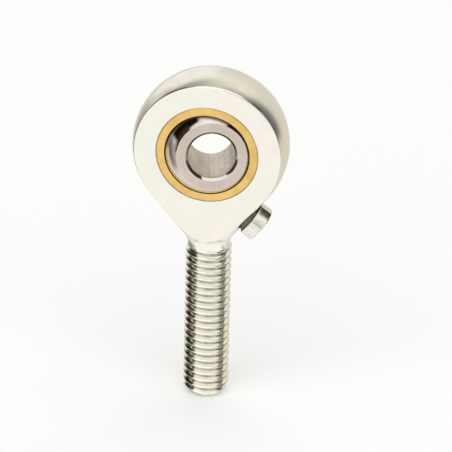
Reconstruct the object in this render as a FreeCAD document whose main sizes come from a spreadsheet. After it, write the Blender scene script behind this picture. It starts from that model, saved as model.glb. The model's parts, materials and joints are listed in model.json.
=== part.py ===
"""Rod end bearing, size 6, with a left-hand male shank.  All lengths are in millimetres.

Frame: the origin is the centre of the ball, +Z runs up the shank's axis to the crown of the
eye, and the eye's flat faces look along -Y (front) and +Y (rear).  The shank points down.

Pieces: the housing (turned eye and threaded shank in one), the race pressed into the eye, the
ball, and a flush grease nipple made of a body, a check ball and a spring.
"""
import FreeCAD, Part
import math
import os

import Sketcher

SIZES = {
    # ball
    "ball_diameter": 12.7,
    "ball_width": 9.0,
    "bore_diameter": 6.0,
    "bore_chamfer": 0.35,
    "ball_edge_break": 0.1,
    # ball at rest, tipped from square by this angle about an axis that leans from +Z towards -X
    "rest_tilt": 11.2,
    "tilt_axis_lean": 23.0,
    # race
    "race_clearance": 0.02,
    "race_diameter": 15.0,
    "race_shoulder_width": 4.4,
    "race_lip_diameter": 13.1,
    "race_edge_break": 0.1,
    "race_mouth_break": 0.03,
    "grease_groove_width": 1.2,
    "grease_groove_depth": 0.4,
    # housing: a turned ball-ended blank, milled flat on two sides
    "head_diameter": 20.0,
    "head_width": 6.75,
    "head_edge_radius": 0.25,
    "flank_angle": 36.0,
    "neck_diameter": 5.5,
    "neck_fillet": 2.5,
    "centre_to_tip": 36.0,
    # rolled thread M6 x 1, left hand
    "thread_length": 22.0,
    "thread_diameter": 5.96,
    "thread_root_diameter": 4.78,
    "thread_pitch": 1.0,
    "thread_root_flat": 0.2,
    "thread_overcut": 0.07,
    "shank_shoulder": 0.4,
    "tip_diameter": 4.4,
    "tip_chamfer": 1.2,
    # grease nipple, square to the right-hand flank
    "nipple_offset": 4.84,
    "nipple_hex": 4.4,
    "nipple_hex_turn": 14.5,
    "nipple_head": 1.75,
    "nipple_standoff": 0.2,
    "hexagon_chamfer_reach": 0.66,
    "nipple_stub_diameter": 4.0,
    "nipple_stub_length": 3.0,
    "nipple_hole_depth": 3.2,
    "drill_overrun": 2.0,
    "lube_hole_diameter": 1.5,
    "lube_hole_depth": 6.5,
    "funnel_diameter": 2.8,
    "throat_diameter": 1.0,
    "funnel_depth": 1.05,
    "throat_length": 0.2,
    "seat_length": 0.45,
    "cavity_diameter": 1.7,
    "crimp_thickness": 0.25,
    "crimp_diameter": 0.9,
    "check_ball_diameter": 1.5,
    "check_ball_gap": 0.02,
    # check spring
    "spring_wire": 0.2,
    "spring_diameter": 1.24,
    "spring_turns": 4.5,
    "spring_seat_gap": 0.02,
}

doc = FreeCAD.newDocument("rod_end_bearing")


def make_sheet():
    """The driving dimensions, one alias for each cell of column B."""
    cells = doc.addObject("Spreadsheet::Sheet", "sizes")
    for row, (alias, value) in enumerate(SIZES.items(), start=1):
        cells.set("A%d" % row, alias.replace("_", " "))
        cells.set("B%d" % row, str(value))
        cells.setAlias("B%d" % row, alias)
    doc.recompute()
    return cells


sheet = make_sheet()


def size(expression):
    """The number that an expression of the sheet's aliases stands for."""
    value = sheet.evalExpression(expression)
    return float(getattr(value, "Value", value))


def bind(item, prop, expression):
    """Bind a property to an expression whose aliases carry the sheet's name."""
    item.setExpression(prop, qualified(expression))


def qualified(expression):
    """Put the sheet's name before each alias of an expression."""
    out = []
    word = ""
    for letter in expression + " ":
        if letter.isalnum() or letter == "_":
            word += letter
            continue
        out.append("sizes." + word if word in SIZES else word)
        out.append(letter)
        word = ""
    return "".join(out).strip()


def origin_plane(body, role):
    """One of a body's own origin planes or axes, found by its role."""
    return next(item for item in body.Origin.OriginFeatures if item.Role == role)


def new_body(label):
    body = doc.addObject("PartDesign::Body", label)
    body.Label = label
    doc.recompute()
    return body


def arc_centre(start, end, radius, turn):
    """Centre of the arc from start to end; turn is +1 for anticlockwise and -1 for clockwise."""
    dx = end[0] - start[0]
    dy = end[1] - start[1]
    chord = math.hypot(dx, dy)
    rise = math.sqrt(max(radius ** 2 - chord ** 2 / 4, 0.0))
    return (
        (start[0] + end[0]) / 2 - turn * rise * dy / chord,
        (start[1] + end[1]) / 2 + turn * rise * dx / chord,
    )


def draw_outline(sketch, corners):
    """Draw a closed outline and bind it to the sheet.

    Each corner is (x, y), or (x, y, radius, turn) when the edge that arrives there is an arc.
    """
    count = len(corners)
    spots = [(size(corner[0]), size(corner[1])) for corner in corners]
    ends = []
    for index, corner in enumerate(corners):
        start = spots[index - 1]
        end = spots[index]
        if len(corner) == 2:
            edge = Part.LineSegment(FreeCAD.Vector(*start, 0), FreeCAD.Vector(*end, 0))
            ends.append((sketch.addGeometry(edge, False), 1, 2))
            continue
        radius = size(corner[2])
        turn = corner[3]
        centre = arc_centre(start, end, radius, turn)
        first, last = (start, end) if turn > 0 else (end, start)
        angles = [math.atan2(spot[1] - centre[1], spot[0] - centre[0]) for spot in (first, last)]
        circle = Part.Circle(FreeCAD.Vector(*centre, 0), FreeCAD.Vector(0, 0, 1), radius)
        edge = Part.ArcOfCircle(circle, angles[0], angles[1])
        poles = (1, 2) if turn > 0 else (2, 1)
        ends.append((sketch.addGeometry(edge, False),) + poles)
        pin_value(sketch, ("Radius", ends[-1][0]), corner[2])
    for index in range(count):
        before = ends[index - 1]
        here = ends[index]
        sketch.addConstraint(Sketcher.Constraint("Coincident", before[0], before[2], here[0], here[1]))
    for index, corner in enumerate(corners):
        edge, _, last = ends[index]
        pin_value(sketch, ("DistanceX", -1, 1, edge, last), corner[0])
        pin_value(sketch, ("DistanceY", -1, 1, edge, last), corner[1])


def pin_value(sketch, what, expression):
    """Add a dimension and bind it; a zero one needs no binding."""
    value = size(expression)
    number = sketch.addConstraint(Sketcher.Constraint(*what, value))
    if expression != "0":
        bind(sketch, "Constraints[%d]" % number, expression)


def new_sketch(body, name, role, corners):
    """An outline on one of a body's origin planes."""
    sketch = body.newObject("Sketcher::SketchObject", name)
    sketch.AttachmentSupport = [(origin_plane(body, role), "")]
    sketch.MapMode = "FlatFace"
    doc.recompute()
    draw_outline(sketch, corners)
    doc.recompute()
    return sketch


def turn_profile(body, name, kind, sketch, axis="V_Axis"):
    """Turn a sketch a full circle about one of its own axes: a Revolution adds, a Groove cuts."""
    before = body.Shape.Volume if body.Tip else 0.0
    feature = body.newObject("PartDesign::" + kind, name)
    feature.Profile = sketch
    feature.ReferenceAxis = (sketch, [axis])
    feature.Angle = 360
    doc.recompute()
    body.Tip = feature
    doc.recompute()
    change = body.Shape.Volume - before
    if (change > 0) != (kind == "Revolution"):
        raise RuntimeError("%s changed the volume by %.4f" % (name, change))
    return feature


def mirrored(corners):
    """A profile's corners followed by their mirror images below the x axis, closing the outline."""
    lower = []
    arcs = {}
    for index, corner in enumerate(corners):
        if len(corner) == 4 and index > 0:
            arcs[index - 1] = corner[2:]
    for index in reversed(range(len(corners))):
        spot = (corners[index][0], "-(%s)" % corners[index][1])
        lower.append(spot + arcs.get(index, ()))
    return corners + lower


def make_ball():
    """The ball: a 12.7 sphere cut to width, with a chamfered bore."""
    body = new_body("ball")
    half = "ball_width / 2"
    flat_radius = "sqrt((ball_diameter / 2)^2 - (%s - ball_edge_break)^2)" % half
    corners = [
        ("bore_diameter / 2", "%s - bore_chamfer" % half),
        ("bore_diameter / 2 + bore_chamfer", half),
        ("%s - ball_edge_break" % flat_radius, half),
        (flat_radius, "%s - ball_edge_break" % half),
    ]
    lower = [(x, "-(%s)" % y) for x, y in reversed(corners)]
    lower[0] += ("ball_diameter / 2", -1)
    sketch = new_sketch(body, "ball_profile", "XY_Plane", corners + lower)
    turn_profile(body, "ball_turned", "Revolution", sketch)
    lean = math.radians(size("tilt_axis_lean"))
    axis = FreeCAD.Vector(-math.sin(lean), 0, math.cos(lean))
    body.Placement = FreeCAD.Placement(FreeCAD.Vector(), FreeCAD.Rotation(axis, size("rest_tilt")))
    return body


def race_outline():
    """Upper half of the race's section: grease groove, spherical track, face, lip and shoulder."""
    half = "head_width / 2"
    track = "(ball_diameter / 2 + race_clearance)"
    edge = "race_edge_break"
    inner_edge = "race_mouth_break"
    mouth = "sqrt(%s^2 - (%s - %s)^2)" % (track, half, inner_edge)
    groove_edge = "sqrt(%s^2 - (grease_groove_width / 2)^2)" % track
    return [
        ("%s + grease_groove_depth" % track, "grease_groove_width / 2"),
        (groove_edge, "grease_groove_width / 2"),
        (mouth, "%s - %s" % (half, inner_edge), track, 1),
        ("%s + %s" % (mouth, inner_edge), half),
        ("race_lip_diameter / 2 - %s" % edge, half),
        ("race_lip_diameter / 2", "%s - %s" % (half, edge)),
        ("race_diameter / 2", "race_shoulder_width / 2"),
    ]


def nipple_placement():
    """Where the nipple stands: local +Z is square to the flank, and the origin is on the flank."""
    flank = math.radians(size("flank_angle"))
    outward = FreeCAD.Vector(math.cos(flank), 0, -math.sin(flank))
    down_flank = FreeCAD.Vector(-math.sin(flank), 0, -math.cos(flank))
    spot = outward * (size("head_diameter") / 2) + down_flank * size("nipple_offset")
    return FreeCAD.Placement(spot, FreeCAD.Rotation(FreeCAD.Vector(0, 0, 1), outward))


def drill(name, stages):
    """A tool for holes on the nipple's axis: one cylinder for each (radius, near, far) stage."""
    parts = []
    for index, (radius, near, far) in enumerate(stages):
        stage = doc.addObject("Part::Cylinder", "%s_%d" % (name, index))
        bind(stage, "Radius", radius)
        bind(stage, "Height", "(%s) - (%s)" % (far, near))
        stage.Placement = nipple_placement() * FreeCAD.Placement(
            FreeCAD.Vector(0, 0, size(near)), FreeCAD.Rotation()
        )
        parts.append(stage)
    if len(parts) == 1:
        return parts[0]
    joined = doc.addObject("Part::MultiFuse", name)
    joined.Shapes = parts
    return joined


def cut(label, base, tool):
    """A Part::Cut with its own label, whose volume must be smaller than the base's."""
    result = doc.addObject("Part::Cut", label)
    result.Base = base
    result.Tool = tool
    result.Label = label
    doc.recompute()
    if result.Shape.Volume >= base.Shape.Volume:
        raise RuntimeError("%s cut nothing" % label)
    return result


def make_race():
    """The race: a brass ring with a spherical inside, a grease groove and a lube hole."""
    body = new_body("race_blank")
    sketch = new_sketch(body, "race_profile", "XY_Plane", mirrored(race_outline()))
    turn_profile(body, "race_turned", "Revolution", sketch)
    hole = drill("race_drill", [("lube_hole_diameter / 2", "-lube_hole_depth", "-nipple_hole_depth")])
    return cut("race", body, hole)


def housing_outline():
    """Half section of the turned blank: tip chamfer, shank, neck fillet, flank and crown."""
    head = "(head_diameter / 2)"
    neck = "(neck_diameter / 2)"
    fillet = "neck_fillet"
    sine = "sin(flank_angle)"
    cosine = "cos(flank_angle)"
    # the fillet's centre lies at neck + fillet from the axis, one fillet radius off the flank line
    fillet_height = "((%s + %s) * %s - %s - %s) / %s" % (neck, fillet, cosine, head, fillet, sine)
    thread_top = "(thread_length - centre_to_tip)"
    crest = "thread_diameter / 2"
    shoulder_top = "(%s + shank_shoulder)" % thread_top
    above_centre = "(%s - %s)" % (shoulder_top, fillet_height)
    return [
        ("0", "-centre_to_tip"),
        ("tip_diameter / 2", "-centre_to_tip"),
        (crest, "tip_chamfer - centre_to_tip"),
        (crest, thread_top),
        ("%s + %s - sqrt(%s^2 - %s^2)" % (neck, fillet, fillet, above_centre), shoulder_top),
        (
            "%s + %s * (1 - %s)" % (neck, fillet, cosine),
            "%s + %s * %s" % (fillet_height, fillet, sine),
            fillet,
            -1,
        ),
        ("%s * %s" % (head, cosine), "-%s * %s" % (head, sine)),
        ("0", head, head, 1),
    ]


def mill_flats(body):
    """Cut the turned blank to the head's width with one pocket on each side."""
    for side, sign in (("front", "-"), ("rear", "")):
        near = sign + "head_width / 2"
        far = sign + "head_diameter"
        corners = [("-head_diameter", near), ("-head_diameter", far),
                   ("head_diameter", far), ("head_diameter", near)]
        sketch = new_sketch(body, side + "_flat_outline", "XY_Plane", corners)
        before = body.Shape.Volume
        pocket = body.newObject("PartDesign::Pocket", side + "_flat")
        pocket.Profile = sketch
        pocket.Type = "ThroughAll"
        pocket.Midplane = True
        doc.recompute()
        if body.Shape.Volume >= before:
            raise RuntimeError("%s flat cut nothing" % side)


def soften_flats(label, base):
    """Round the outer edges where the milled flats meet the turned blank."""
    level = size("head_width / 2")
    radius = size("head_edge_radius")
    mouth = size("race_lip_diameter + 4 * race_edge_break")
    picked = []
    for number, edge in enumerate(base.Shape.Edges, start=1):
        box = edge.BoundBox
        in_flat = box.YLength < 1e-4 and abs(abs(box.YMin) - level) < 1e-4
        if in_flat and box.XLength > mouth:
            picked.append((number, radius, radius))
    fillet = doc.addObject("Part::Fillet", label)
    fillet.Base = base
    fillet.Edges = picked
    doc.recompute()
    return fillet


def thread_groove(bottom, turns):
    """The left-hand V groove of the thread, swept along a helix that starts below the tip."""
    helix = doc.addObject("Part::Helix", "thread_helix")
    bind(helix, "Pitch", "thread_pitch")
    bind(helix, "Height", "thread_pitch * %s" % turns)
    bind(helix, "Radius", "thread_root_diameter / 2")
    helix.SegmentLength = 1
    helix.LocalCoord = "Left-handed"
    bind(helix, "Placement.Base.z", bottom)
    outline = doc.addObject("Sketcher::SketchObject", "thread_groove_outline")
    outline.Placement = FreeCAD.Placement(
        FreeCAD.Vector(), FreeCAD.Rotation(FreeCAD.Vector(1, 0, 0), 90)
    )
    root = "thread_root_diameter / 2"
    mouth = "thread_diameter / 2 + thread_overcut"
    spread = "(thread_root_flat / 2 + (%s - %s) * tan(30))" % (mouth, root)
    corners = [
        (root, "%s - thread_root_flat / 2" % bottom),
        (mouth, "%s - %s" % (bottom, spread)),
        (mouth, "%s + %s" % (bottom, spread)),
        (root, "%s + thread_root_flat / 2" % bottom),
    ]
    draw_outline(outline, corners)
    doc.recompute()
    groove = doc.addObject("Part::Sweep", "thread_groove")
    groove.Sections = [outline]
    groove.Spine = (helix, ["Edge%d" % (n + 1) for n in range(len(helix.Shape.Edges))])
    groove.Solid = True
    groove.Frenet = True
    doc.recompute()
    return groove


def make_housing():
    """The housing: turned blank, two flats, softened edges, race seat, nipple hole and thread."""
    body = new_body("housing_blank")
    sketch = new_sketch(body, "housing_profile", "XZ_Plane", housing_outline())
    turn_profile(body, "housing_turned", "Revolution", sketch)
    mill_flats(body)
    lip = "race_lip_diameter / 2"
    half = "head_width / 2"
    seat = [
        ("0", "head_width"),
        (lip, "head_width"),
        (lip, "%s - race_edge_break" % half),
        ("race_diameter / 2", "race_shoulder_width / 2"),
    ]
    seat_sketch = new_sketch(body, "race_seat_profile", "XY_Plane", mirrored(seat))
    turn_profile(body, "race_seat", "Groove", seat_sketch)
    holes = drill(
        "housing_drill",
        [
            ("nipple_stub_diameter / 2", "-nipple_hole_depth", "drill_overrun"),
            ("lube_hole_diameter / 2", "-lube_hole_depth", "-nipple_hole_depth / 2"),
        ],
    )
    drilled = cut("housing_drilled", soften_flats("softened_blank", body), holes)
    thread_bottom = "-(centre_to_tip + thread_pitch)"
    turns = "(thread_length + thread_pitch) / thread_pitch"
    return cut("rod_end_housing", drilled, thread_groove(thread_bottom, turns))


def hexagon(across_flats, turn):
    """Corners of a regular hexagon whose first corner is turned from +X by an angle in degrees."""
    corner = "%s / (2 * cos(30))" % across_flats
    return [
        ("%s * cos(%s + %d)" % (corner, turn, step), "%s * sin(%s + %d)" % (corner, turn, step))
        for step in range(0, 360, 60)
    ]


def make_nipple_body():
    """The nipple's body: hexagon head, round stub, funnel mouth, ball seat and crimped end."""
    body = new_body("grease_nipple_body")
    foot = "-nipple_stub_length"
    side = "nipple_stub_diameter / 2"
    crown = "(nipple_standoff + nipple_head)"
    stub = [("0", foot), (side, foot), (side, "nipple_standoff"), ("0", "nipple_standoff")]
    turn_profile(body, "nipple_stub", "Revolution", new_sketch(body, "stub_profile", "XZ_Plane", stub))
    outline = new_sketch(body, "hexagon_outline", "XY_Plane", hexagon("nipple_hex", "nipple_hex_turn"))
    bind(outline, "AttachmentOffset.Base.z", "nipple_standoff")
    doc.recompute()
    head = body.newObject("PartDesign::Pad", "hexagon_head")
    head.Profile = outline
    bind(head, "Length", "nipple_head")
    doc.recompute()
    wide = "nipple_hex * hexagon_chamfer_reach"
    corner_cut = [
        ("nipple_hex / 2", crown),
        (wide, "%s - (%s - nipple_hex / 2) * tan(30)" % (crown, wide)),
        (wide, crown),
    ]
    cone = new_sketch(body, "corner_chamfer_profile", "XZ_Plane", corner_cut)
    turn_profile(body, "corner_chamfer", "Groove", cone)
    seat_top = "(%s - funnel_depth - throat_length)" % crown
    passage = [
        ("0", "%s - drill_overrun" % foot),
        ("crimp_diameter / 2", "%s - drill_overrun" % foot),
        ("crimp_diameter / 2", "%s + crimp_thickness" % foot),
        ("cavity_diameter / 2", "%s + crimp_thickness" % foot),
        ("cavity_diameter / 2", "%s - seat_length" % seat_top),
        ("throat_diameter / 2", seat_top),
        ("throat_diameter / 2", "%s + throat_length" % seat_top),
        ("funnel_diameter / 2", crown),
        ("funnel_diameter / 2", "%s + drill_overrun" % crown),
        ("0", "%s + drill_overrun" % crown),
    ]
    hollow = new_sketch(body, "grease_passage_profile", "XZ_Plane", passage)
    turn_profile(body, "grease_passage", "Groove", hollow)
    body.Placement = nipple_placement()
    return body


def check_ball_height():
    """Height of the check ball's centre on the nipple's axis, just clear of its conical seat."""
    seat_top = size("nipple_standoff + nipple_head - funnel_depth - throat_length")
    throat = size("throat_diameter / 2")
    flare = size("cavity_diameter / 2") - throat
    slope = math.hypot(flare, size("seat_length"))
    reach = size("check_ball_diameter / 2 + check_ball_gap")
    return seat_top - (reach * slope - throat * size("seat_length")) / flare


def make_check_ball():
    """The small ball that the spring holds against the nipple's seat."""
    ball = doc.addObject("Part::Sphere", "nipple_check_ball")
    ball.Label = "nipple_check_ball"
    bind(ball, "Radius", "check_ball_diameter / 2")
    height = FreeCAD.Vector(0, 0, check_ball_height())
    ball.Placement = nipple_placement() * FreeCAD.Placement(height, FreeCAD.Rotation())
    doc.recompute()
    return ball


def make_check_spring():
    """The coil spring between the nipple's crimped end and the check ball."""
    wire = size("spring_wire / 2")
    coil = size("spring_diameter / 2")
    bottom = size("crimp_thickness - nipple_stub_length") + wire
    reach = size("check_ball_diameter / 2 + spring_seat_gap") + wire
    top = check_ball_height() - math.sqrt(reach ** 2 - coil ** 2)
    helix = doc.addObject("Part::Helix", "spring_helix")
    helix.Height = top - bottom
    helix.Pitch = (top - bottom) / size("spring_turns")
    bind(helix, "Radius", "spring_diameter / 2")
    helix.SegmentLength = 1
    helix.Placement.Base = FreeCAD.Vector(0, 0, bottom)
    section = doc.addObject("Part::Circle", "spring_section")
    bind(section, "Radius", "spring_wire / 2")
    section.Placement = FreeCAD.Placement(
        FreeCAD.Vector(coil, 0, bottom), FreeCAD.Rotation(FreeCAD.Vector(1, 0, 0), 90)
    )
    doc.recompute()
    spring = doc.addObject("Part::Sweep", "nipple_check_spring")
    spring.Label = "nipple_check_spring"
    spring.Sections = [section]
    spring.Spine = (helix, ["Edge%d" % (n + 1) for n in range(len(helix.Shape.Edges))])
    spring.Solid = True
    spring.Frenet = True
    doc.recompute()
    spring.Placement = nipple_placement()
    doc.recompute()
    return spring


def check_model(pieces):
    """Stop if any object failed or any piece is not one valid solid."""
    for item in doc.Objects:
        if "Invalid" in item.State or "Error" in item.State:
            raise RuntimeError("%s did not recompute: %s" % (item.Name, item.State))
    for piece in pieces:
        shape = piece.Shape
        if shape.isNull() or not shape.isValid() or len(shape.Solids) != 1:
            raise RuntimeError("%s is not one valid solid" % piece.Label)


def export(pieces):
    os.makedirs("parts", exist_ok=True)
    for piece in pieces:
        piece.Shape.exportStep("parts/%s.step" % piece.Label)
        box = piece.Shape.BoundBox
        print("%-22s %9.3f mm3   Z %7.3f to %7.3f" % (
            piece.Label, piece.Shape.Volume, box.ZMin, box.ZMax))


pieces = [
    make_housing(),
    make_race(),
    make_ball(),
    make_nipple_body(),
    make_check_ball(),
    make_check_spring(),
]
check_model(pieces)
export(pieces)
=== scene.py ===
import json
import math

import bmesh
import bpy
import numpy as np
from mathutils import Matrix, Vector


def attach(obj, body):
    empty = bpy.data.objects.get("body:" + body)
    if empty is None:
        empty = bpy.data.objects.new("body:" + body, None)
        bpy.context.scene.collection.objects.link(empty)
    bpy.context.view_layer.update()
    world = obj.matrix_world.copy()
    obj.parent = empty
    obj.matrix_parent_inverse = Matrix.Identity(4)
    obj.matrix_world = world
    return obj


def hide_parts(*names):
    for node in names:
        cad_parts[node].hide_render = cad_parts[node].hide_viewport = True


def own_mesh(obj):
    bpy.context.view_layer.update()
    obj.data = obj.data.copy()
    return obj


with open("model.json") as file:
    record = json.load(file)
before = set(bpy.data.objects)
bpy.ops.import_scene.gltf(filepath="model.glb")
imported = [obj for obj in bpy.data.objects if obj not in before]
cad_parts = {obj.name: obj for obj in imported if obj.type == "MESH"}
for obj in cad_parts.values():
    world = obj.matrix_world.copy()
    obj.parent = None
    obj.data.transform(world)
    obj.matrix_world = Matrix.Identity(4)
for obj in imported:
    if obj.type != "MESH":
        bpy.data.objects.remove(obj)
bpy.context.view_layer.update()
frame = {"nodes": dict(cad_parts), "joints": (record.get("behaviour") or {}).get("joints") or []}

# Every size below is in millimetres. The origin is the ball's centre, +Z runs up the shank to the
# crown of the eye, and the eye's flats face -Y and +Y. Meshes are scaled to metres when they are made.
MM = 0.001

HEAD_RADIUS = 10.0
HALF_WIDTH = 3.375
FLAT_EDGE = 0.25
FLANK = math.radians(36)
NECK_RADIUS = 2.75
NECK_FILLET = 2.5
SEAT_RADIUS = 7.5
SEAT_HALF_WIDTH = 2.2
LIP_RADIUS = 6.55
LIP_BREAK = 0.06

TIP_Z = -36.0
TIP_RADIUS = 2.2
TIP_CHAMFER = 1.2
THREAD_TOP = -14.3
THREAD_RUNOUT = 0.5
PITCH = 1.0
CREST_RADIUS = 2.98
ROOT_RADIUS = 2.39
ROOT_HALF_FLAT = 0.1
THREAD_HALF_ANGLE = math.radians(30)
FLANK_SOFTNESS = 0.045
CHAMFER_SOFTNESS = 0.025

BALL_RADIUS = 6.35
BALL_HALF_WIDTH = 4.5
BALL_EDGE = 0.1
BORE_RADIUS = 3.0
BORE_CHAMFER = 0.35

TRACK_RADIUS = 6.37
RACE_LIP_EDGE = 0.1
RACE_MOUTH_EDGE = 0.03
# Width of the ring of the race's face, round its mouth, that takes the dark track brass as painted shade of
# the gap against the ball.
GAP_SHADE_RIM = 0.06
NEARLY_FLUSH = 0.002
GROOVE_HALF_WIDTH = 0.6
GROOVE_DEPTH = 0.4
LUBE_HOLE = 0.75
LUBE_HOLE_FOOT = -6.5

NIPPLE_OFFSET = 4.84
HEX_FLATS = 4.4
HEX_TURN = math.radians(14.5)
HEX_CROWN = 12.0
HEX_CORNER_RADIUS = 2.46
HEX_CORNER_SOFTNESS = 0.01
CROWN_SLOPE = math.tan(math.radians(30))
HEAD_FOOT = 0.2
HEAD_TOP = 1.95
HEAD_EDGE = 0.08
HEAD_FLAT_FROM = 0.13
STUB_RADIUS = 2.0
STUB_FOOT = -3.0
STUB_CHAMFER = 0.15
STUB_HOLE_FOOT = -3.2
FUNNEL_RADIUS = 1.4
FUNNEL_FOOT = HEAD_TOP - 1.05
THROAT_RADIUS = 0.5
CHECK_SEAT_TOP = FUNNEL_FOOT - 0.2
CHECK_SEAT_FOOT = CHECK_SEAT_TOP - 0.45
CAVITY_RADIUS = 0.85
CRIMP_TOP = STUB_FOOT + 0.25
CRIMP_RADIUS = 0.45

SPRING_RADIUS = 0.62
SPRING_WIRE = 0.1
SPRING_TURNS = 6.0
SPRING_TOP = -0.53
SPRING_END_CLOSING = 0.55
SPRING_TAPER_STEPS = 3

ROUND_COLUMNS = 192
LINE_COLUMNS = 28
EDGE_STEPS = 6
RIM_STEPS = 32
CROWN_STEPS = 120
FLANK_STEPS = 40
BLADE_STEPS = 80
TRACK_STEPS = 20
SPHERE_STEPS = 28
COIL_STEPS = 40
WIRE_COLUMNS = 16
SPLIT_Z = -7.2
NECK_Z = -13.0


# ---------------------------------------------------------------- meshes

class Surface:
    """Grids of points, in millimetres, that are welded into one mesh where they meet."""

    def __init__(self):
        self.points = []
        self.faces = []
        self.slots = []
        self.count = 0

    def grid(self, rows, closed=False, slots=0):
        """Add the quads between rows of points; closed joins each row's end to its start.

        slots is one material index, or one for each gap between two rows.
        """
        rows = np.asarray(rows, float)
        height, width = rows.shape[:2]
        numbers = self.count + np.arange(height * width).reshape(height, width)
        if closed:
            numbers = np.hstack([numbers, numbers[:, :1]])
        quads = np.stack([numbers[:-1, :-1], numbers[:-1, 1:], numbers[1:, 1:], numbers[1:, :-1]], axis=2)
        self.points.append(rows.reshape(-1, 3))
        self.faces.append(quads.reshape(-1, 4))
        slots = np.broadcast_to(np.asarray(slots).reshape(-1, 1), quads.shape[:2])
        self.slots.append(slots.ravel())
        self.count += height * width

    def make(self, name, materials, placement=Matrix.Identity(4)):
        """One object, moved by a placement in metres and welded, with every face outwards."""
        mesh = bpy.data.meshes.new(name)
        for material in materials:
            mesh.materials.append(material)
        mesh.from_pydata((np.vstack(self.points) * MM).tolist(), [], np.vstack(self.faces).tolist())
        mesh.polygons.foreach_set("material_index", np.concatenate(self.slots).astype(np.int32))
        work = bmesh.new()
        work.from_mesh(mesh)
        bmesh.ops.remove_doubles(work, verts=work.verts, dist=2e-7)
        bmesh.ops.recalc_face_normals(work, faces=work.faces)
        work.to_mesh(mesh)
        work.free()
        mesh.transform(placement)
        piece = bpy.data.objects.new(name, mesh)
        bpy.context.scene.collection.objects.link(piece)
        return piece


def drill(piece, placement, radius, near, far):
    """Cut a round hole along a placement's local Z, between two heights."""
    tool_surface = Surface()
    tool_surface.grid(turned([(0, near), (radius, near), (radius, far), (0, far)], axis="Z"), closed=True)
    tool = tool_surface.make("drill", [], placement)
    hole = piece.modifiers.new("hole", "BOOLEAN")
    hole.operation = "DIFFERENCE"
    hole.solver = "EXACT"
    hole.object = tool
    bpy.context.view_layer.update()
    drilled = piece.evaluated_get(bpy.context.evaluated_depsgraph_get())
    mesh = bpy.data.meshes.new_from_object(drilled)
    piece.modifiers.clear()
    piece.data = mesh
    bpy.data.objects.remove(tool)


def finish_piece(piece, body, node, sharp=40):
    """Shade a piece and let it stand for its node."""
    mesh = piece.data
    mesh.polygons.foreach_set("use_smooth", np.ones(len(mesh.polygons), bool))
    mesh.set_sharp_from_angle(angle=math.radians(sharp))
    weighted = piece.modifiers.new("even_normals", "WEIGHTED_NORMAL")
    weighted.keep_sharp = True
    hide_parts(node)
    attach(piece, body)


def arc(centre, radius, start, end, steps):
    """Points along an arc, as (across, along) pairs; the angles are in radians."""
    angle = np.linspace(start, end, steps + 1)
    return np.column_stack([centre[0] + radius * np.cos(angle), centre[1] + radius * np.sin(angle)])


def eased(corners, steps=4):
    """An outline with its corners rounded: each corner is (radius, height, reach of the rounding)."""
    out = []
    for index, (radius, height, reach) in enumerate(corners):
        corner = np.array([radius, height])
        if reach == 0:
            out.append(corner)
            continue
        before = np.array(corners[index - 1][:2]) - corner
        after = np.array(corners[(index + 1) % len(corners)][:2]) - corner
        first = corner + before * reach / np.hypot(*before)
        last = corner + after * reach / np.hypot(*after)
        for t in np.linspace(0, 1, steps + 1):
            out.append((1 - t) ** 2 * first + 2 * t * (1 - t) * corner + t ** 2 * last)
    return np.array(out)


def turned(outline, axis="Y", columns=ROUND_COLUMNS):
    """A closed outline of (radius, height) points turned about Y or Z, as rows of points."""
    outline = np.array(outline, float)
    outline = np.vstack([outline, outline[:1]])
    angle = np.linspace(0, 2 * math.pi, columns, endpoint=False)
    across = outline[:, :1] * np.cos(angle)
    beside = outline[:, :1] * np.sin(angle)
    height = np.repeat(outline[:, 1:], columns, 1)
    order = [across, height, beside] if axis == "Y" else [across, beside, height]
    return np.stack(order, axis=2)


def about_z(radius, angle, z):
    """A row of points round the Z axis."""
    return np.column_stack([radius * np.cos(angle), radius * np.sin(angle), np.broadcast_to(z, angle.shape)])


def smooth_step(value):
    value = np.clip(value, 0, 1)
    return value * value * (3 - 2 * value)


# ---------------------------------------------------------------- housing

def blank_radius(z):
    """Radius of the turned blank at a height: crown, flank, neck fillet or neck."""
    sine, cosine = math.sin(FLANK), math.cos(FLANK)
    fillet_r = NECK_RADIUS + NECK_FILLET
    fillet_z = (fillet_r * cosine - HEAD_RADIUS - NECK_FILLET) / sine
    crown = np.sqrt(np.maximum(HEAD_RADIUS ** 2 - z ** 2, 0))
    flank = (HEAD_RADIUS + z * sine) / cosine
    fillet = fillet_r - np.sqrt(NECK_FILLET ** 2 - np.clip(z - fillet_z, 0, NECK_FILLET) ** 2)
    below_crown = np.where(z > fillet_z + NECK_FILLET * sine, flank, fillet)
    return np.where(z > -HEAD_RADIUS * sine, crown, below_crown)


def edge_centre(radius):
    """Centre of the rounding between a flat and the blank, in a section of that radius."""
    across = HALF_WIDTH - FLAT_EDGE
    return math.sqrt((radius - FLAT_EDGE) ** 2 - across ** 2), across


def side_section(radius):
    """Half a section of the head, round its side from the front flat to the rear one."""
    along, across = edge_centre(radius)
    meet = math.atan2(across, along)
    front = arc((along, -across), FLAT_EDGE, -math.pi / 2, -meet, EDGE_STEPS)
    side = arc((0, 0), radius, -meet, meet, RIM_STEPS)
    rear = arc((along, across), FLAT_EDGE, meet, math.pi / 2, EDGE_STEPS)
    return np.vstack([front[:-1], side, rear[1:]])


def eye_rim():
    """Rows from the front flat to the rear one, each going over the crown from right to left."""
    columns = []
    for z in np.linspace(SPLIT_Z, 0, FLANK_STEPS, endpoint=False):
        section = side_section(blank_radius(z))
        columns.append(np.column_stack([section, np.full(len(section), z)]))
    left = [column * (-1, 1, 1) for column in reversed(columns)]
    section = side_section(HEAD_RADIUS)
    for angle in np.linspace(0, math.pi, CROWN_STEPS + 1):
        columns.append(np.column_stack([
            section[:, 0] * math.cos(angle), section[:, 1], section[:, 0] * math.sin(angle)]))
    return np.stack(columns + left, axis=1)


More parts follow.
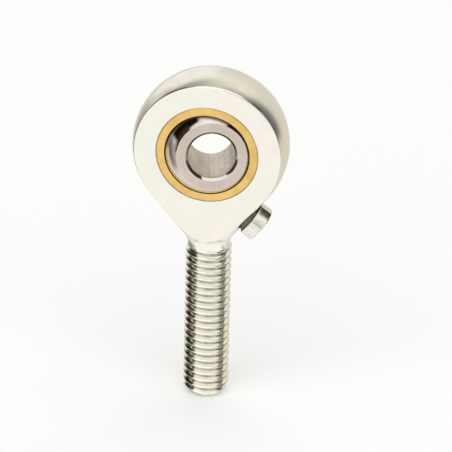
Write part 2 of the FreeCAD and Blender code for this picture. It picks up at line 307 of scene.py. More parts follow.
def flat_face(outer, y):
    """Rows across a flat, from the mouth of the race seat to the outer loop of (x, z) points."""
    angle = np.arctan2(outer[:, 1], outer[:, 0])
    mouth = (LIP_RADIUS + LIP_BREAK) * np.column_stack([np.cos(angle), np.sin(angle)])
    rows = []
    for share in (0, 0.03, 0.3, 0.65, 0.94, 1):
        row = mouth + (outer - mouth) * share
        rows.append(np.column_stack([row[:, 0], np.full(len(row), y), row[:, 1]]))
    return np.stack(rows)


def seat_wall(angle):
    """Rows through the eye, from the front mouth of the race seat to the rear one."""
    front = [(LIP_RADIUS + LIP_BREAK, -HALF_WIDTH), (LIP_RADIUS, LIP_BREAK - HALF_WIDTH),
             (SEAT_RADIUS, -SEAT_HALF_WIDTH)]
    rear = [(radius, -y) for radius, y in reversed(front)]
    return np.stack([
        np.column_stack([radius * np.cos(angle), np.full(len(angle), y), radius * np.sin(angle)])
        for radius, y in front + rear])


def split_loop():
    """The head's section at the split height: front line, right side, rear line, left side."""
    section = side_section(blank_radius(SPLIT_Z))
    line = np.linspace(-section[0, 0], section[0, 0], LINE_COLUMNS + 1)
    front = np.column_stack([line, np.full(len(line), -HALF_WIDTH)])
    rear = front[::-1] * (1, -1)
    left = section[::-1] * (-1, 1)
    return np.vstack([front[:-1], section[:-1], rear[:-1], left[:-1]])


def flattened_circle(angle, radius):
    """Points at polar angles on a section of the head: a circle cut flat, with eased edges."""
    folded = np.arctan2(np.abs(np.sin(angle)), np.abs(np.cos(angle)))
    distance = np.full(len(angle), radius)
    if radius > HALF_WIDTH:
        along, across = edge_centre(radius)
        near = along * np.cos(folded) + across * np.sin(folded)
        spare = FLAT_EDGE ** 2 - along ** 2 - across ** 2 + near ** 2
        edge = near + np.sqrt(np.maximum(spare, 0))
        distance = np.where(folded > math.atan2(across, along), edge, distance)
        flat = HALF_WIDTH / np.maximum(np.sin(folded), 0.01)
        distance = np.where(folded > math.atan2(HALF_WIDTH, along), flat, distance)
    return np.column_stack([distance * np.cos(angle), distance * np.sin(angle)])


def blade():
    """Closed rows from the split height down to the neck, and the angles of the last row.

    The columns start where the split loop has them and end evenly spaced about the shank.
    """
    loop = split_loop()
    aligned = np.unwrap(np.arctan2(loop[:, 1], loop[:, 0]))
    step = 2 * math.pi / len(loop)
    even = aligned[LINE_COLUMNS // 2] + step * (np.arange(len(loop)) - LINE_COLUMNS // 2)
    rows = [np.column_stack([loop, np.full(len(loop), SPLIT_Z)])]
    for share in np.linspace(0, 1, BLADE_STEPS + 1)[1:]:
        z = SPLIT_Z + (NECK_Z - SPLIT_Z) * share
        moved = smooth_step(share / 0.75)
        row = flattened_circle(aligned * (1 - moved) + even * moved, blank_radius(z))
        rows.append(np.column_stack([row, np.full(len(row), z)]))
    return np.stack(rows), even


def soft_clip(value, softness):
    """The value limited to 0 to 1, with rounded corners."""
    return softness * (np.logaddexp(0, value / softness) - np.logaddexp(0, (value - 1) / softness))


def soft_minimum(first, second, softness):
    """The smaller of two values, with a rounded change from one to the other."""
    return -softness * np.logaddexp(-first / softness, -second / softness)


def thread_radius(angle, z):
    """The rolled left-hand thread, which fades into the neck and is cut by the tip's chamfer."""
    turn = z / PITCH + angle / (2 * math.pi)
    from_root = np.abs(turn - np.round(turn)) * PITCH
    depth = CREST_RADIUS - ROOT_RADIUS
    climb = (from_root - ROOT_HALF_FLAT) / (depth * math.tan(THREAD_HALF_ANGLE))
    threaded = ROOT_RADIUS + depth * soft_clip(climb, FLANK_SOFTNESS)
    fade = smooth_step((THREAD_TOP + THREAD_RUNOUT / 2 - z) / THREAD_RUNOUT)
    radius = blank_radius(z) + (threaded - blank_radius(z)) * fade
    chamfer = TIP_RADIUS + (CREST_RADIUS - TIP_RADIUS) * (z - TIP_Z) / TIP_CHAMFER
    return soft_minimum(radius, chamfer, CHAMFER_SOFTNESS)


def shank(even):
    """Rows that follow the thread's helix from the neck to the tip, and rings that close the tip.

    Each row drops by one pitch in a turn, and is held between the plain ends of the shank.
    """
    angle = np.append(even, even[0] + 2 * math.pi)
    from_root = (0.07, 0.11, 0.16, 0.3, 0.4, 0.44, 0.47)
    phases = sorted([-share for share in from_root] + [0, 0.5] + list(from_root), reverse=True)
    last_z = TIP_Z + 0.05
    rows = []
    for turn in range(int(NECK_Z) + 2, int(TIP_Z) - 2, -1):
        for phase in phases:
            z = np.clip((turn + phase - angle / (2 * math.pi)) * PITCH, last_z, NECK_Z)
            rows.append(about_z(thread_radius(angle, z), angle, z))
    for inset, z in ((0.02, TIP_Z + 0.02), (0.07, TIP_Z), (0.8, TIP_Z), (1.5, TIP_Z), (TIP_RADIUS, TIP_Z)):
        rows.append(about_z(TIP_RADIUS - inset, angle, z))
    return np.stack(rows)


def make_housing(turned_zinc, milled_zinc, rolled_zinc):
    """The eye, its flats, the neck and the threaded shank: one closed surface."""
    turned_slot, milled_slot, rolled_slot = 0, 1, 2
    surface = Surface()
    rim = eye_rim()
    surface.grid(rim, slots=turned_slot)
    across = split_loop()[1:LINE_COLUMNS, 0]
    bottom = np.column_stack([across, np.full(len(across), SPLIT_Z)])
    outer = np.vstack([rim[0][:, [0, 2]], bottom])
    for y in (-HALF_WIDTH, HALF_WIDTH):
        surface.grid(flat_face(outer, y), closed=True, slots=milled_slot)
    surface.grid(seat_wall(np.arctan2(outer[:, 1], outer[:, 0])), closed=True, slots=turned_slot)
    rows, even = blade()
    surface.grid(rows, closed=True, slots=turned_slot)
    surface.grid(shank(even), slots=rolled_slot)
    piece = surface.make("rod_end_housing_shell", [turned_zinc, milled_zinc, rolled_zinc])
    drill(piece, nipple_placement(), STUB_RADIUS, STUB_HOLE_FOOT, HEAD_TOP)
    drill(piece, nipple_placement(), LUBE_HOLE, LUBE_HOLE_FOOT, STUB_HOLE_FOOT / 2)
    finish_piece(piece, "housing", "rod_end_housing")


# ---------------------------------------------------------------- race and ball

def both_ways(front):
    """A half outline, given at negative heights, followed by its mirror image."""
    front = np.asarray(front, float)
    return np.vstack([front, front[::-1] * (1, -1)])


def slots_of(rows, choose):
    """A material index for each gap between rows, chosen by its radius and distance from the middle."""
    radius = np.hypot(rows[:, 0, 0], rows[:, 0, 2])
    away = np.abs(rows[:, 0, 1])
    gap_radius = (radius[1:] + radius[:-1]) / 2
    gap_away = (away[1:] + away[:-1]) / 2
    return [choose(*gap) for gap in zip(gap_radius, gap_away)]


def race_outline(track_mouth, gap_shade_radius):
    """The race's section, from the grease groove out to its seat on both sides."""
    groove_edge = math.sqrt(TRACK_RADIUS ** 2 - GROOVE_HALF_WIDTH ** 2)
    start = math.atan2(-GROOVE_HALF_WIDTH, groove_edge)
    end = math.atan2(RACE_MOUTH_EDGE - HALF_WIDTH, track_mouth)
    track = arc((0, 0), TRACK_RADIUS, start, end, TRACK_STEPS)
    rim = eased([
        (*track[-1], 0),
        (track_mouth + RACE_MOUTH_EDGE, -HALF_WIDTH, 0.02),
        (gap_shade_radius, -HALF_WIDTH, 0),
        (LIP_RADIUS - RACE_LIP_EDGE, -HALF_WIDTH, 0.05),
        (LIP_RADIUS, RACE_LIP_EDGE - HALF_WIDTH, 0.04),
        (SEAT_RADIUS, -SEAT_HALF_WIDTH, 0),
    ])
    groove = [(TRACK_RADIUS + GROOVE_DEPTH, -GROOVE_HALF_WIDTH)]
    return both_ways(np.vstack([groove, track, rim[1:]]))


def make_race(face_brass, track_brass):
    """The brass race: dark greased spherical track with a grease groove, faced flush with the eye; the dark
    brass at the track's mouth and on a thin ring round it is painted shade of the gap against the ball.
    """
    face_slot, track_slot = 0, 1
    track_mouth = math.sqrt(TRACK_RADIUS ** 2 - (HALF_WIDTH - RACE_MOUTH_EDGE) ** 2)
    gap_shade_radius = track_mouth + RACE_MOUTH_EDGE + GAP_SHADE_RIM

    def choose(radius, away):
        # The track and a thin ring round its mouth take the dark brass; at the mouth it is painted shade of
        # the gap against the ball.
        on_track = radius < LIP_RADIUS - RACE_LIP_EDGE and away < HALF_WIDTH - NEARLY_FLUSH
        return track_slot if on_track or radius < gap_shade_radius else face_slot

    surface = Surface()
    rows = turned(race_outline(track_mouth, gap_shade_radius))
    surface.grid(rows, closed=True, slots=slots_of(rows, choose))
    piece = surface.make("race_ring", [face_brass, track_brass])
    drill(piece, nipple_placement(), LUBE_HOLE, LUBE_HOLE_FOOT, STUB_HOLE_FOOT)
    finish_piece(piece, "housing", "race")


def joint_named(name):
    return next(joint for joint in frame["joints"] if joint["name"] == name)


def ball_tilt_at_rest():
    """The turn that leaves the ball tipped: its joint's range is centred on the square position."""
    joint = joint_named("ball_tilt")
    low, high = joint["range_deg"]
    return Matrix.Rotation(-math.radians(low + high) / 2, 4, Vector(joint["axis"]))


def make_ball(sphere_steel, face_steel, bore_steel):
    """The ball: polished sphere, ground end faces, eased edges and a chamfered bore."""
    sphere_slot, face_slot, bore_slot = 0, 1, 2
    face_radius = math.sqrt(BALL_RADIUS ** 2 - (BALL_HALF_WIDTH - BALL_EDGE) ** 2)
    end = math.atan2(BALL_EDGE - BALL_HALF_WIDTH, face_radius)
    sphere = arc((0, 0), BALL_RADIUS, 0, end, SPHERE_STEPS)[:-1]
    rim = eased([
        (sphere[-1][0], sphere[-1][1], 0),
        (face_radius, BALL_EDGE - BALL_HALF_WIDTH, 0.05),
        (face_radius - BALL_EDGE, -BALL_HALF_WIDTH, 0.05),
        (BORE_RADIUS + BORE_CHAMFER, -BALL_HALF_WIDTH, 0.04),
        (BORE_RADIUS, BORE_CHAMFER - BALL_HALF_WIDTH, 0.05),
        (BORE_RADIUS, 0, 0),
    ])
    half = np.vstack([sphere, rim[1:]])
    outline = np.vstack([half, half[-2:0:-1] * (1, -1)])

    def choose(radius, away):
        if away > BALL_HALF_WIDTH - 0.01:
            return face_slot
        return bore_slot if radius < BORE_RADIUS + 0.01 else sphere_slot

    surface = Surface()
    rows = turned(outline)
    surface.grid(rows, closed=True, slots=slots_of(rows, choose))
    piece = surface.make("ball_ring", [sphere_steel, face_steel, bore_steel], ball_tilt_at_rest())
    finish_piece(piece, "ball", "ball")


# ---------------------------------------------------------------- grease nipple

def nipple_placement():
    """Local Z stands square to the right-hand flank, local X runs down it; lengths in metres."""
    outward = Vector((math.cos(FLANK), 0, -math.sin(FLANK)))
    down = Vector((-math.sin(FLANK), 0, -math.cos(FLANK)))
    foot = outward * HEAD_RADIUS + down * NIPPLE_OFFSET
    return Matrix.Translation(foot * MM) @ Matrix.Rotation(math.pi / 2 + FLANK, 4, "Y")


def hexagon_columns():
    """Polar angles for a hexagon's columns, close together at its corners."""
    near_corner = (1, 2, 2.8, 3.6, 4.6, 7, 11, 16, 20, 25)
    sector = sorted([-degrees for degrees in near_corner] + list(near_corner) + [0, 30])
    return np.radians([60 * side + degrees for side in range(6) for degrees in sector]) + HEX_TURN


def hexagon_radius(angle):
    """Distance from the middle of a hexagon with slightly crowned sides and turned corners."""
    from_side = (angle - HEX_TURN) % (math.pi / 3) - math.pi / 6
    inset = HEX_FLATS / 2 - HEX_CROWN
    side = inset * np.cos(from_side) + np.sqrt(HEX_CROWN ** 2 - (inset * np.sin(from_side)) ** 2)
    return soft_minimum(side, HEX_CORNER_RADIUS, HEX_CORNER_SOFTNESS)


def nipple_outline(hexagon, crown_edge):
    """The nipple's section from its crimped foot up, over the crown and down the passage.

    It comes as three lists of (radius, height): the stub, the head, and the funnel and passage.
    """
    stub = [(CRIMP_RADIUS, STUB_FOOT), (STUB_RADIUS - STUB_CHAMFER, STUB_FOOT),
            (STUB_RADIUS, STUB_FOOT + STUB_CHAMFER), (STUB_RADIUS, 0), (STUB_RADIUS, HEAD_FOOT)]
    head = [(hexagon - HEAD_EDGE, HEAD_FOOT), (hexagon - 0.025, HEAD_FOOT + 0.02),
            (hexagon, HEAD_FOOT + HEAD_EDGE), (hexagon, HEAD_FOOT + HEAD_FLAT_FROM),
            (hexagon, crown_edge - HEAD_FLAT_FROM), (hexagon, crown_edge - HEAD_EDGE),
            (hexagon - 0.012, crown_edge - 0.025), (hexagon - 0.05, crown_edge + 0.02)]
    passage = [(HEX_FLATS / 2 - 0.06, HEAD_TOP), (HEX_FLATS / 2 - 0.14, HEAD_TOP),
               (FUNNEL_RADIUS + 0.08, HEAD_TOP), (FUNNEL_RADIUS + 0.02, HEAD_TOP - 0.015),
               (FUNNEL_RADIUS - 0.03, HEAD_TOP - 0.07), (THROAT_RADIUS + 0.03, FUNNEL_FOOT + 0.03),
               (THROAT_RADIUS, FUNNEL_FOOT - 0.03), (THROAT_RADIUS, CHECK_SEAT_TOP),
               (CAVITY_RADIUS, CHECK_SEAT_FOOT), (CAVITY_RADIUS, CRIMP_TOP),
               (CRIMP_RADIUS, CRIMP_TOP), (CRIMP_RADIUS, STUB_FOOT)]
    return stub, head, passage


def make_nipple_body(zinc, foot_shade):
    """The nipple's body: hexagon head with a chamfered crown, funnel, ball seat and crimped foot."""
    zinc_slot, foot_shade_slot = 0, 1
    angle = hexagon_columns()
    hexagon = hexagon_radius(angle)
    crown_edge = HEAD_TOP - (hexagon - HEX_FLATS / 2) * CROWN_SLOPE
    stub, head, passage = nipple_outline(hexagon, crown_edge)
    rows = [about_z(radius, angle, z) for radius, z in stub + head + passage]
    # The stub and the underside of the head take a dark steel: painted shade in the gap under the head.
    slots = [foot_shade_slot] * len(stub) + [zinc_slot] * (len(rows) - len(stub) - 1)
    surface = Surface()
    surface.grid(rows, closed=True, slots=slots)
    piece = surface.make("grease_nipple_head", [zinc, foot_shade], nipple_placement())
    finish_piece(piece, "housing", "grease_nipple_body", sharp=50)


def spring_centreline(turn):
    """Height of the wire at each turn: the end coils lie closed and the middle ones are open."""
    foot = CRIMP_TOP + SPRING_WIRE
    rise = SPRING_TOP - foot
    share = turn / SPRING_TURNS
    closing = SPRING_END_CLOSING * math.sin(2 * math.pi * share) / (2 * math.pi)
    return foot + rise * (share - closing)


def make_check_spring(steel):
    """The coil spring that holds the check ball up."""
    steps = int(SPRING_TURNS * COIL_STEPS)
    rows = []
    for step in range(steps + 1):
        turn = SPRING_TURNS * step / steps
        angle = 2 * math.pi * turn
        outward = np.array([math.cos(angle), math.sin(angle), 0])
        middle = outward * SPRING_RADIUS + (0, 0, spring_centreline(turn))
        from_end = min(step, steps - step) / SPRING_TAPER_STEPS
        reach = SPRING_WIRE * math.sqrt(1 - max(0, 1 - from_end) ** 2)
        around = np.linspace(0, 2 * math.pi, WIRE_COLUMNS, endpoint=False)[:, None]
        rows.append(middle + reach * (outward * np.cos(around) + np.array([0, 0, 1]) * np.sin(around)))
    surface = Surface()
    surface.grid(rows, closed=True)
    place = nipple_placement()
    piece = surface.make("nipple_check_coil", [steel], place)
    finish_piece(piece, "housing", "nipple_check_spring")
    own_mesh(piece)


def finish_check_ball(steel):
    """The check ball keeps its own mesh and gets a polished steel."""
    ball = frame["nodes"]["nipple_check_ball"]
    ball.data.materials.clear()
    ball.data.materials.append(steel)


# ---------------------------------------------------------------- materials

class Nodes:
    """Short ways to add nodes to a tree; an input takes a socket, a number or a colour."""

    def __init__(self, tree):
        self.tree = tree

    def add(self, kind, inputs, **settings):
        node = self.tree.nodes.new(kind)
        for name, value in settings.items():
            setattr(node, name, value)
        for name, value in inputs.items():
            if isinstance(value, bpy.types.NodeSocket):
                self.tree.links.new(value, node.inputs[name])
            else:
                node.inputs[name].default_value = value
        return node

    def calc(self, operation, *values):
        """A Math node's result."""
        return self.add("ShaderNodeMath", dict(enumerate(values)), operation=operation).outputs[0]

    def length(self, first, second):
        """The distance that two steps at a right angle make."""
        squares = [self.calc("POWER", value, 2.0) for value in (first, second)]
        return self.calc("SQRT", self.calc("ADD", *squares))

    def fade(self, value, low, high, start=0.0, end=1.0):
        """Goes smoothly from start to end as the value goes from low to high."""
        inputs = {"Value": value, "From Min": low, "From Max": high, "To Min": start, "To Max": end}
        return self.add("ShaderNodeMapRange", inputs, interpolation_type="SMOOTHSTEP").outputs[0]

    def blend(self, share, first, second):
        """A mix of two colours."""
        inputs = {"Factor": share, "A": first, "B": second}
        node = self.tree.nodes.new("ShaderNodeMix")
        node.data_type = "RGBA"
        for name, value in inputs.items():
            socket = next(item for item in node.inputs if item.name == name and item.enabled)
            if isinstance(value, bpy.types.NodeSocket):
                self.tree.links.new(value, socket)
            elif name == "Factor":
                socket.default_value = value
            else:
                socket.default_value = (*value, 1)
        return next(item for item in node.outputs if item.enabled)

    def noise(self, place, scale, detail=2.0, rough=0.5):
        """Noise between 0 and 1; scale is the number of features in a metre."""
        inputs = {"Vector": place, "Scale": scale, "Detail": detail, "Roughness": rough}
        return self.add("ShaderNodeTexNoise", inputs).outputs[0]

    def stretched(self, place, scale):
        """The same place, scaled along each axis."""
        return self.add("ShaderNodeMapping", {"Vector": place, "Scale": scale}).outputs[0]


def new_metal(name, turn=Matrix.Identity(4)):
    """A metallic material: its nodes, its shader, and the piece's own coordinates in metres.

    turn is how far the piece is turned from the square position that its marks are made for.
    """
    material = bpy.data.materials.new(name)
    material.use_nodes = True
    nodes = Nodes(material.node_tree)
    shader = material.node_tree.nodes["Principled BSDF"]
    shader.inputs["Metallic"].default_value = 1.0
    place = nodes.add("ShaderNodeTexCoord", {}).outputs["Object"]
    square = turn.inverted().to_euler()
    place = nodes.add("ShaderNodeMapping", {"Vector": place, "Rotation": square}).outputs[0]
    return material, nodes, shader, place


def set_surface(nodes, shader, colour, roughness, height, depth):
    """Feed a shader with its colour, roughness and a bump of the given depth in metres."""
    nodes.tree.links.new(colour, shader.inputs["Base Color"])
    nodes.tree.links.new(roughness, shader.inputs["Roughness"])
    bump = nodes.add("ShaderNodeBump", {"Height": height, "Distance": depth, "Strength": 1.0})
    nodes.tree.links.new(bump.outputs[0], shader.inputs["Normal"])


CREAM, GREEN, PINK = (0.92, 0.875, 0.775), (0.885, 0.89, 0.80), (0.93, 0.865, 0.80)


def zinc(name, marks, rough, dirt_and_shade=None):
    """Bright zinc plating under a clear passivate, with faint cream, green and pink clouds.

    marks makes the height of the marks that the machining left under the plating, rough is the
    middle of its roughness, and dirt_and_shade says how dark a spot is made: real dirt on the nipple,
    painted shade in the thread's roots and round the nipple's foot.
    """
    material, nodes, shader, place = new_metal(name)
    clouds = nodes.fade(nodes.noise(place, 170, 3), 0.35, 0.62)
    blush = nodes.fade(nodes.noise(nodes.stretched(place, (1, 1.7, 0.6)), 210, 2), 0.5, 0.72)
    colour = nodes.blend(blush, nodes.blend(clouds, GREEN, CREAM), PINK)
    if dirt_and_shade:
        # Darken towards a grey brown: real dirt on the nipple, painted shade in the thread's roots and round
        # the nipple's foot.
        colour = nodes.blend(dirt_and_shade(nodes, place), colour, (0.26, 0.25, 0.20))
    haze = nodes.noise(place, 700, 4, 0.6)
    roughness = nodes.fade(haze, 0.25, 0.75, rough - 0.05, rough + 0.07)
    grain = nodes.noise(place, 5200, 3, 0.65)
    height = nodes.calc("ADD", nodes.calc("MULTIPLY", grain, 0.5), marks(nodes, place))
    set_surface(nodes, shader, colour, roughness, height, 0.0000035)
    return material


def thread_root_shade(nodes, place):
    """Painted shade in the root of the thread, which thins out towards the crest and varies in patches along
    it.
    """
    axes = nodes.add("ShaderNodeSeparateXYZ", {"Vector": place}).outputs
    radius = nodes.length(axes["X"], axes["Y"])
    depth = nodes.fade(radius, (ROOT_RADIUS + 0.02) * MM, (ROOT_RADIUS + 0.17) * MM, 1.0, 0.0)
    patches = nodes.fade(nodes.noise(place, 900, 3), 0.25, 0.75, 0.45, 0.85)
    return nodes.calc("MULTIPLY", depth, patches)


def handling_grime(nodes, place):
    """Thin uneven dirt and scuffs, as spanners and greasy hands leave them."""
    film = nodes.fade(nodes.noise(place, 500, 3), 0.35, 0.7, 0.06, 0.3)
    rubbed = nodes.noise(nodes.stretched(place, (1, 0.35, 1)), 3000, 3, 0.6)
    scuffs = nodes.fade(rubbed, 0.56, 0.66, 0.0, 0.35)
    return nodes.calc("MAXIMUM", film, scuffs)


def nipple_foot_shade(nodes, place):
    """Painted shade on the eye's flank round the nipple's foot, under its head, with a ragged outer edge."""
    foot = nipple_placement().translation
    away = nodes.add("ShaderNodeVectorMath", {0: place, 1: foot}, operation="DISTANCE").outputs["Value"]
    ragged = nodes.calc("ADD", away, nodes.calc("MULTIPLY", nodes.noise(place, 1300, 3), 0.0009))
    return nodes.fade(ragged, 0.0026, 0.0036, 0.9, 0.0)


def lathe_marks(nodes, place):
    """Fine rings about the shank's axis, as a lathe leaves them."""
    return nodes.noise(nodes.stretched(place, (0.03, 0.03, 1)), 9000, 2)


def mill_marks(nodes, place):
    """Faint straight lines across the flats, as a milling cutter leaves them."""
    return nodes.noise(nodes.stretched(place, (0.04, 0.3, 1)), 5000, 2)


def rolled_marks(nodes, place):
    """Smooth, slightly uneven metal, as thread rolling leaves it."""
    return nodes.noise(place, 1500, 2)


def ring_marks(nodes, place, scale):
    """Fine rings about the bore's axis, whose spacing and depth vary a little."""
    axes = nodes.add("ShaderNodeSeparateXYZ", {"Vector": place}).outputs
    radius = nodes.length(axes["X"], axes["Z"])
    ring = nodes.add("ShaderNodeCombineXYZ", {"X": radius, "Y": axes["Y"]}).outputs[0]
    return nodes.noise(ring, scale, 3, 0.7)


def brass(name, bright, dull):
    """Turned brass, a little uneven in colour, with fine turning rings and dull spots."""
    material, nodes, shader, place = new_metal(name)
    rings = ring_marks(nodes, place, 9000)
    patch = nodes.fade(nodes.noise(place, 420, 4, 0.6), 0.35, 0.7)
    colour = nodes.blend(patch, bright, dull)
    lighter = tuple(min(channel * 1.12 + 0.03, 1) for channel in bright)
    colour = nodes.blend(nodes.fade(rings, 0.45, 0.75, 0.0, 0.45), colour, lighter)
    roughness = nodes.fade(nodes.noise(place, 900, 3), 0.3, 0.7, 0.24, 0.36)
    height = nodes.calc("ADD", rings, nodes.calc("MULTIPLY", nodes.noise(place, 2600, 3), 0.6))
    set_surface(nodes, shader, colour, roughness, height, 0.000006)
    return material


def bearing_steel(name, tint, rough, marks, depth, turn=Matrix.Identity(4), dirt_and_shade=None):
    """Hardened bearing steel; its polished, ground and bored faces differ in roughness and marks.

    depth is the depth of the marks in metres. A rougher face shows them darker as well.
    """
    material, nodes, shader, place = new_metal(name, turn)
    dull = tuple(channel * 0.9 for channel in tint)
    colour = nodes.blend(nodes.fade(nodes.noise(place, 330, 3), 0.35, 0.7), tint, dull)
    scratched = marks(nodes, place)
    colour = nodes.blend(nodes.fade(scratched, 0.4, 0.66, 0.0, rough), colour, (0.30, 0.25, 0.21))
    if dirt_and_shade:
        # Painted shade in a dark brown on the ball next to the race's mouth, where the gap between them
        # lies.
        colour = nodes.blend(dirt_and_shade(nodes, place), colour, (0.10, 0.07, 0.035))
    roughness = nodes.fade(nodes.noise(place, 1100, 3), 0.3, 0.7, rough * 0.8, rough * 1.25)
    set_surface(nodes, shader, colour, roughness, scratched, depth)
    return material


def polish_marks(nodes, place):
    """The faint waviness of a polished sphere."""
    return nodes.noise(place, 2500, 2)


def race_gap_shade(nodes, place):
    """Painted shade on the ball in the gap where it goes into the race, square to the eye as the ball rests.
    """
    resting = nodes.add("ShaderNodeMapping", {"Vector": place, "Rotation": ball_tilt_at_rest().to_euler()})
    axes = nodes.add("ShaderNodeSeparateXYZ", {"Vector": resting.outputs[0]}).outputs
    away = nodes.calc("ABSOLUTE", axes["Y"])
    return nodes.fade(away, (HALF_WIDTH + 0.08) * MM, (HALF_WIDTH + 0.45) * MM, 0.9, 0.0)


def grinding_marks(nodes, place):
    """Fine rings about the bore on a ground end face."""
    return ring_marks(nodes, place, 12000)


def honing_marks(nodes, place):
    """Fine streaks along the bore."""
    return nodes.noise(nodes.stretched(place, (1, 0.02, 1)), 3200, 4, 0.65)


# ---------------------------------------------------------------- stage

def add_floor():
    """A plain white floor under the shank's tip, lit a little from below."""
    side = 3.0
    corners = [(-side, -side, 0), (side, -side, 0), (side, side, 0), (-side, side, 0)]
    mesh = bpy.data.meshes.new("floor")
    mesh.from_pydata(corners, [], [(0, 1, 2, 3)])
    white = bpy.data.materials.new("white_floor")
    white.use_nodes = True
    shader = white.node_tree.nodes["Principled BSDF"]
    shader.inputs["Base Color"].default_value = (0.95, 0.955, 0.975, 1)
    shader.inputs["Roughness"].default_value = 0.9
    shader.inputs["Emission Color"].default_value = (1, 1, 1, 1)
    shader.inputs["Emission Strength"].default_value = 0.28
    mesh.materials.append(white)
    floor = bpy.data.objects.new("floor", mesh)
    bpy.context.scene.collection.objects.link(floor)
    floor.location.z = TIP_Z * MM
    floor.visible_glossy = False


CAMERA_AZIMUTH = 9.0
CAMERA_ELEVATION = 26.07
CAMERA_ROLL = 1.5
CAMERA_DISTANCE = 0.4
CAMERA_LENS = 250.4
AIM_RIGHT = 1.85
AIM_DOWN = 10.47


def rolled_view(back):
    """The camera's turn when it looks against a direction, with its small roll."""
    level = back.to_track_quat("Z", "Y").to_matrix()
    return level @ Matrix.Rotation(math.radians(CAMERA_ROLL), 3, "Z")


def add_camera():
    """A long lens in front of the eye, a little above and to the right of it."""
    azimuth, elevation = math.radians(CAMERA_AZIMUTH), math.radians(CAMERA_ELEVATION)
    back = Vector((
        math.sin(azimuth) * math.cos(elevation),
        -math.cos(azimuth) * math.cos(elevation),
        math.sin(elevation)))
    place = back * CAMERA_DISTANCE
    target = rolled_view(back) @ Vector((AIM_RIGHT, -AIM_DOWN, 0)) * MM
    data = bpy.data.cameras.new("camera")
    data.sensor_width = 36.0
    data.lens = CAMERA_LENS
    data.clip_start = 0.01
    data.clip_end = 20
    camera = bpy.data.objects.new("camera", data)
    bpy.context.scene.collection.objects.link(camera)
    camera.matrix_world = Matrix.Translation(place) @ rolled_view(place - target).to_4x4()
    bpy.context.scene.camera = camera


ARCH_LEAN = math.radians(14)

# Patches of the light tent. Each has its ranges of azimuth and elevation and the softness of its
# edges, in degrees, then its strength and its colour. A later patch covers an earlier one.
BACK_PATCH = ((-34, 3), (-4, 40), 4, 0.8, (1.0, 0.99, 0.97))
SIDE_PATCHES = (
    ((-58, 60), (42, 80), 7, 1.0, (1.3, 1.3, 1.28)),          # softbox above the front
    ((-111, -76), (4, 64), 5, 1.0, (0.010, 0.008, 0.005)),    # open gap on the left
    ((-138, -100), (22, 64), 5, 1.0, (0.010, 0.008, 0.005)),  # the same gap, further round at the top
    ((-88, -68), (-16, 40), 4, 1.0, (0.06, 0.04, 0.025)),     # its front edge
    ((-150, -84), (-42, 0), 8, 0.62, (0.16, 0.12, 0.09)),     # dim table below it
    ((97, 126), (-8, 46), 6, 0.9, (0.06, 0.08, 0.08)),        # open gap on the right
    ((51, 114), (30, 55), 3, 0.98, (0.03, 0.025, 0.02)),      # its top, which reaches forwards
    ((64, 96), (-12, 46), 4, 1.0, (0.05, 0.04, 0.025)),       # its front edge
    ((83, 94), (-46, 4), 3, 0.75, (0.10, 0.065, 0.035)),      # slit below it
    ((-12, 41), (2, 36), 5, 0.6, (0.22, 0.22, 0.22)),         # dim opening in the front wall
)


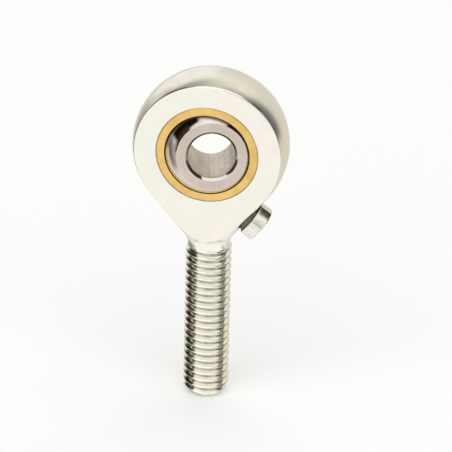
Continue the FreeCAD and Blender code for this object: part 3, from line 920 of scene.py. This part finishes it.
class Tent:
    """A light tent round the part: the angles of a direction in it, and its colour there.

    Azimuths are counted from the camera's side, and from_back from the far side; both rise to
    the right.
    """

    def __init__(self, nodes):
        self.nodes = nodes
        direction = nodes.add("ShaderNodeTexCoord", {}).outputs["Generated"]
        turn = (0, 0, -math.radians(CAMERA_AZIMUTH))
        faced = nodes.add("ShaderNodeMapping", {"Vector": direction, "Rotation": turn}).outputs[0]
        self.axes = nodes.add("ShaderNodeSeparateXYZ", {"Vector": faced}).outputs
        towards = nodes.calc("MULTIPLY", self.axes["Y"], -1.0)
        self.azimuth = nodes.calc("ARCTAN2", self.axes["X"], towards)
        self.from_back = nodes.calc("ARCTAN2", self.axes["X"], self.axes["Y"])
        self.elevation = nodes.calc("ARCSINE", self.axes["Z"])
        self.right = nodes.fade(self.axes["X"], -0.4, 0.4)
        self.colour = self.walls()

    def rise(self, low, high, start=0.0, end=1.0):
        """Goes from start to end as the elevation goes from low to high, in degrees."""
        return self.nodes.fade(self.elevation, math.radians(low), math.radians(high), start, end)

    def zone(self, value, start, end, softness):
        """1 where the value is between two angles and 0 outside them; the angles are in degrees."""
        start, end, softness = (math.radians(degrees) for degrees in (start, end, softness))
        rise = self.nodes.fade(value, start - softness, start + softness)
        fall = self.nodes.fade(value, end - softness, end + softness, 1.0, 0.0)
        return self.nodes.calc("MULTIPLY", rise, fall)

    def walls(self):
        """White in front, and dimmer and creamier behind."""
        nodes = self.nodes
        sideways = nodes.calc("ABSOLUTE", self.from_back)
        far_side = nodes.fade(sideways, math.radians(58), math.radians(88), 1.0, 0.0)
        behind = nodes.calc("MULTIPLY", far_side, self.rise(-72, -28))
        front = nodes.blend(self.rise(-20, 6), (1.05, 1.05, 1.04), (1.1, 1.1, 1.08))
        low_back = nodes.blend(self.right, (0.68, 0.67, 0.64), (0.74, 0.70, 0.63))
        back = nodes.blend(self.rise(5, 45), low_back, (0.90, 0.87, 0.78))
        return nodes.blend(behind, front, back)

    def patch(self, side, azimuths, elevations, softness, strength, paint):
        """Paint one patch, whose azimuths are counted as the given side is."""
        across = self.zone(side, *azimuths, softness)
        up = self.zone(self.elevation, *elevations, softness)
        share = self.nodes.calc("MULTIPLY", self.nodes.calc("MULTIPLY", across, up), strength)
        self.colour = self.nodes.blend(share, self.colour, paint)

    def roof(self):
        """Paint the bright roof."""
        self.colour = self.nodes.blend(self.rise(62, 80), self.colour, (1.25, 1.25, 1.25))

    def arch(self):
        """Paint a dark frame that stands over the part and leans back, wider on the left."""
        nodes = self.nodes
        backward = nodes.calc("MULTIPLY", self.axes["Y"], math.cos(ARCH_LEAN))
        downward = nodes.calc("MULTIPLY", self.axes["Z"], -math.sin(ARCH_LEAN))
        from_arch = nodes.calc("ARCCOSINE", nodes.calc("ADD", backward, downward))
        left = nodes.fade(self.axes["X"], -0.4, 0.4, 0.85, 0.0)
        wide = nodes.calc("MULTIPLY", self.zone(from_arch, 59, 77, 4), left)
        narrow = nodes.calc("MULTIPLY", self.zone(from_arch, 74, 81, 2), self.right)
        share = nodes.calc("MULTIPLY", nodes.calc("ADD", wide, narrow), self.rise(-43, -17, 0.0, 0.85))
        self.colour = nodes.blend(share, self.colour, (0.10, 0.10, 0.09))


def add_light():
    """A white light tent, open a little at both sides, and brighter overhead."""
    world = bpy.data.worlds.new("light_tent")
    world.use_nodes = True
    tent = Tent(Nodes(world.node_tree))
    tent.patch(tent.from_back, *BACK_PATCH)
    tent.roof()
    tent.arch()
    for patch in SIDE_PATCHES:
        tent.patch(tent.azimuth, *patch)
    background = world.node_tree.nodes["Background"]
    world.node_tree.links.new(tent.colour, background.inputs["Color"])
    bpy.context.scene.world = world
    bpy.context.scene.view_settings.view_transform = "Standard"


# ---------------------------------------------------------------- the whole scene

add_camera()
add_light()
add_floor()
make_housing(
    zinc("zinc_turned", lathe_marks, 0.2, nipple_foot_shade),
    zinc("zinc_milled", mill_marks, 0.2),
    zinc("zinc_rolled", rolled_marks, 0.16, thread_root_shade))
make_race(brass("brass_turned", (0.86, 0.60, 0.22), (0.76, 0.48, 0.16)),
          # Dark brass for the greased track, which at the track's mouth and round it is painted shade of the
          # gap against the ball.
          brass("brass_track_and_gap_shade", (0.22, 0.13, 0.05), (0.14, 0.08, 0.03)))
tilt = ball_tilt_at_rest()
make_ball(
    bearing_steel("steel_polished", (0.72, 0.66, 0.61), 0.07, polish_marks, 0.0000015, tilt, race_gap_shade),
    bearing_steel("steel_ground", (0.69, 0.595, 0.525), 0.24, grinding_marks, 0.000004, tilt),
    bearing_steel("steel_honed", (0.66, 0.58, 0.50), 0.30, honing_marks, 0.000006, tilt))
make_nipple_body(
    zinc("zinc_nipple", rolled_marks, 0.13, handling_grime),
    # Dark steel as painted shade under the nipple's head.
    bearing_steel("steel_foot_shade", (0.14, 0.15, 0.11), 0.4, polish_marks, 0.000003))
make_check_spring(bearing_steel("steel_wire", (0.55, 0.54, 0.52), 0.3, honing_marks, 0.000004))
finish_check_ball(bearing_steel("steel_check_ball", (0.70, 0.70, 0.69), 0.08, polish_marks, 0.000001))
